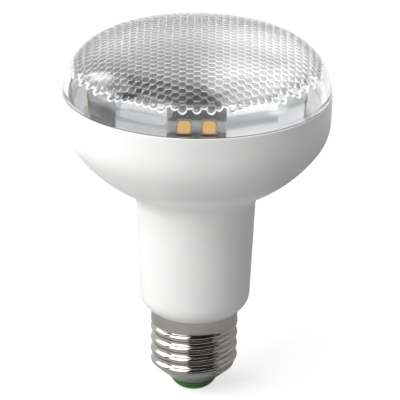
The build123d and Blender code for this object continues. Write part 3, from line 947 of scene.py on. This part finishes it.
def thread_wave(height, angles):
    """Radius of the rolled thread: round crests and roots of equal radius that meet where they slope alike.

    A crest at a height w away from its middle has the radius C - q + root(q^2 - w^2), with q the rounding
    and C the crest's radius, and a root is the same turned over.
    """
    depth = thread_crest_radius - thread_root_radius
    quarter = thread_pitch / 4
    tilt = 2 * math.atan(depth / (2 * quarter))
    rounding = quarter / math.sin(tilt)
    turn = (height[:, None] - thread_start) / thread_pitch - angles / (2 * np.pi)
    away = np.abs(turn - np.round(turn)) * thread_pitch
    crest = thread_crest_radius - rounding + np.sqrt(np.maximum(rounding**2 - away**2, 0))
    opposite = thread_pitch / 2 - away
    root = thread_root_radius + rounding - np.sqrt(np.maximum(rounding**2 - opposite**2, 0))
    return np.where(away < quarter, crest, root)


def cap():
    """Outer skin from the tip to the collar's edge and the same skin one sheet further in."""
    angles = np.linspace(0, 2 * np.pi, cap_turns, endpoint=False)
    height = np.linspace(cap_tip, cap_top, cap_rows)
    cone = cap_tip_radius + (height - cap_tip) * cone_slope
    runout = collar_radius - runout_slope * np.maximum(thread_end - height, 0)
    skin = -soft_least(-thread_wave(height, angles), -runout[:, None], runout_bend)
    skin = np.where(height[:, None] > collar_start, collar_radius, skin)
    skin = soft_least(skin, cone[:, None], sheet_bend)
    inside = np.maximum(skin - cap_sheet, 0)
    radius = np.vstack([skin, inside[::-1], skin[:1]])
    heights = np.concatenate([height, height[::-1], height[:1]])
    points = around(radius, heights, angles)
    return solid_piece("nickel_cap", points, [closed_quads(len(heights), cap_turns)], cap_crease)


cap_piece = cap()

# %% [markdown]
# ## Nickel
# Bright nickel plate is a mirror with a warm grey tint. A perfect mirror looks drawn, and a rough one
# loses the lines of the thread. Rolling leaves fine scuffs round the cap, so the noise that dulls the
# gloss a little is squeezed along the axis.

# %% Nickel
def nickel():
    """Bright nickel plate: fine scuffs round the axis dull the gloss a little and break up its lines."""
    bench = new_bench("nickel")
    scuff = bench.grain(size=1.2, detail=4, stretch=(1, 1, 4))
    return bench.plain_finish({
        "Base Color": bench.blend(bench.grain(size=5), rgb(180, 177, 174), rgb(192, 189, 185)),
        "Metallic": 1.0,
        "Roughness": 0.08 + 0.10 * scuff,
        "Normal": bench.relief(scuff, depth=0.006),
    })


stands_for(cap_piece, "cap_shell", nickel())

# %% [markdown]
# ## Insulator and contact
# Under the cap sits a button of dark green glass with the centre contact in its foot. Both could be made
# from cylinders with a bevel, but both are turned, so a profile with eased corners is all they need. The
# contact is soft tin, whose gloss is mottled: one grain serves its colour, its gloss and its relief.

# %% Insulator and contact
insulator_foot_radius = 4.7
insulator_foot = 0.3
insulator_bulge = 0.35
insulator_lip = cap_tip - 0.05
insulator_top = cap_tip + 1.8
insulator_steps = 12
plug_radius = cap_tip_radius - 0.3
plug_height = 0.45
plug_lean = 0.8 * cone_slope
contact_radius = 4.3
contact_thickness = 0.6
contact_ease = 0.25
contact_fit = 0.05
stem_radius = 1.2
stem_top = insulator_top + 0.4


def insulator():
    """Side that bulges by 4 s (1 - s) from foot to lip, a plug inside the cap, a recess for the contact."""
    share = np.linspace(0, 1, insulator_steps + 1)[:, None]
    foot = np.array([insulator_foot_radius, insulator_foot])
    lip = np.array([cap_tip_radius, insulator_lip])
    side = (1 - share) * foot + share * lip + 4 * share * (1 - share) * (insulator_bulge, 0)
    plug_foot = insulator_lip + plug_height
    plug_top = plug_radius + plug_lean * (insulator_top - plug_foot)
    bore = stem_radius + contact_fit
    recess = contact_radius + contact_fit
    top = [(plug_radius, insulator_lip), (plug_radius, plug_foot), (plug_top, insulator_top)]
    hole = [(bore, insulator_top), (bore, contact_thickness)]
    hole += [(recess, contact_thickness), (recess, insulator_foot)]
    return turned("green_insulator", np.vstack([side, top, hole]))


def contact():
    """Flat button with a softly rounded edge and the stem that rivets it in place."""
    edge = [(0, 0), (contact_radius, 0), (contact_radius, contact_thickness)]
    edge += [(stem_radius, contact_thickness)]
    stem = [(stem_radius, stem_top), (0, stem_top)]
    return turned("centre_button", np.vstack([eased(edge, contact_ease), stem]))


insulator_piece = insulator()
contact_piece = contact()

# %% Green glass and tin
def green_glass():
    """Dark green glassy moulding with paler swirls."""
    bench = new_bench("green_glass")
    swirl = bench.grain(size=2.5, detail=3)
    return bench.plain_finish({
        "Base Color": bench.blend(swirl, rgb(40, 100, 20), rgb(58, 122, 32)),
        "Roughness": 0.25 + 0.15 * swirl,
        "Normal": bench.relief(bench.grain(size=0.7), depth=0.01),
    })


def grained(name, dark, light, size, gloss, metal=0.0, depth=0.01):
    """Colour between two tones, gloss between two roughnesses and relief, all from one grain."""
    bench = new_bench(name)
    grain = bench.grain(size, detail=3)
    return bench.plain_finish({
        "Base Color": bench.blend(grain, rgb(*dark), rgb(*light)),
        "Metallic": metal,
        "Roughness": gloss[0] + (gloss[1] - gloss[0]) * grain,
        "Normal": bench.relief(grain, depth),
    })


tinned = grained("tinned", (170, 168, 162), (205, 203, 198), 0.8, (0.28, 0.48), metal=1.0, depth=0.02)
stands_for(insulator_piece, "cap_insulator", green_glass())
stands_for(contact_piece, "centre_contact", tinned)

# %% [markdown]
# ## The reflector
# Inside the lens stands a bright metallised drum with twelve flat sides, and every third side carries an
# upright board with two LEDs. Its top is a shallow dish, which shows dark through the honeycomb; its near
# black colour is a painted dark reflection of what the metallised dish mirrors. Sides, edges and dish are
# in the CAD model already, so the drum only takes a finish. A second material on the dish would change
# the CAD mesh, but the way that a face looks tells the dish from the sides, so one finish serves both.

# %% Reflector
dark_dish_limit = 0.5


def silver_and_painted_dark_dish():
    """Metallised sides, a near-white mirror with a breath of haze, and a painted dark reflection where
    faces look up.
    """
    bench = new_bench("silver_and_painted_dark_dish")
    haze = bench.grain(size=6)
    upward = bench.axes(bench.node("ShaderNodeNewGeometry")["Normal"])[2]
    # Faces that look up are painted near black and matt: a painted dark reflection in place of what the
    # metallised dish mirrors.
    level = upward > dark_dish_limit
    bright = bench.blend(haze, rgb(208, 209, 211), rgb(222, 223, 224))
    return bench.plain_finish({
        "Base Color": bench.blend(level, bright, rgb(22, 22, 22)),
        "Metallic": 1.0 - level,
        "Roughness": 0.14 + 0.06 * haze + 0.3 * level,
        "Normal": bench.relief(bench.grain(size=2.0), depth=0.01),
    })


finishes = {"reflector": silver_and_painted_dark_dish()}
print("the reflector's finish is ready")

# %% [markdown]
# ## Finishes of the pieces inside
# The boards, the LEDs and the driver keep their CAD shapes and get a finish each. Most are a colour that
# wanders between two tones with a grain of its own, as on the tinned contact, so the same function makes
# them all: from two tones, the size of the grain in millimetres, two roughnesses, how much of it is
# metal, and the depth of its relief in millimetres.

# %% Finishes of the pieces inside
board_numbers = range(1, 5)
board_leds = "ab"
red_cover = grained("red_cover", (150, 26, 24), (172, 36, 32), 1.0, (0.35, 0.5))
black_cover = grained("black_cover", (24, 24, 26), (36, 36, 38), 1.0, (0.35, 0.5))
finishes |= {
    "heat_spreader": grained(
        "cast_aluminium", (165, 167, 170), (196, 198, 200), 0.5, (0.35, 0.5), 1.0, 0.02
    ),
    "thermal_pad": grained("grey_pad", (120, 122, 126), (140, 142, 146), 0.4, (0.7, 0.85)),
    "base_board": grained("bright_sheet", (222, 222, 222), (232, 232, 232), 1.5, (0.10, 0.16), 1.0, 0.004),
    "board_screws": grained("screw_steel", (150, 150, 152), (186, 186, 188), 0.6, (0.25, 0.4), 1.0),
    "driver_board": grained("green_board", (22, 84, 50), (34, 104, 62), 1.2, (0.4, 0.55)),
    "electrolytic_capacitor": grained("can_sleeve", (38, 40, 52), (48, 50, 64), 1.0, (0.3, 0.4)),
    "film_capacitor": grained("red_film", (140, 34, 26), (164, 44, 32), 0.8, (0.3, 0.45)),
    "bridge_rectifier": grained("black_epoxy", (24, 24, 25), (36, 36, 37), 0.3, (0.5, 0.65)),
    "driver_chip": grained("black_epoxy_chip", (22, 22, 24), (34, 34, 36), 0.25, (0.5, 0.65)),
    "transformer_core": grained("ferrite", (44, 44, 47), (62, 62, 65), 0.4, (0.55, 0.75), 0.0, 0.03),
    "transformer_winding": grained("yellow_tape", (196, 160, 42), (216, 182, 62), 1.4, (0.3, 0.45)),
    "fuse_resistor": grained("blue_lacquer", (54, 96, 132), (78, 122, 156), 0.5, (0.35, 0.5)),
    "live_lead": red_cover,
    "neutral_lead": black_cover,
    "led_lead_positive": red_cover,
    "led_lead_negative": black_cover,
}
board = grained("bright_board", (196, 197, 198), (212, 213, 214), 1.5, (0.12, 0.2), 1.0)
package = grained("dull_package", (128, 116, 96), (142, 130, 108), 0.5, (0.3, 0.45))
amber = grained("amber_phosphor", (208, 164, 98), (220, 178, 114), 0.35, (0.3, 0.4))
for number in board_numbers:
    finishes[f"led_board_{number}"] = board
    for letter in board_leds:
        finishes[f"led_{number}{letter}"] = package
        finishes[f"phosphor_{number}{letter}"] = amber


def dress(node, material):
    """Gives a CAD node its finish and leaves its shape alone."""
    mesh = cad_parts[node].data
    mesh.materials.clear()
    mesh.materials.append(material)


for node, material in finishes.items():
    dress(node, material)
print(f"{len(finishes)} nodes dressed")
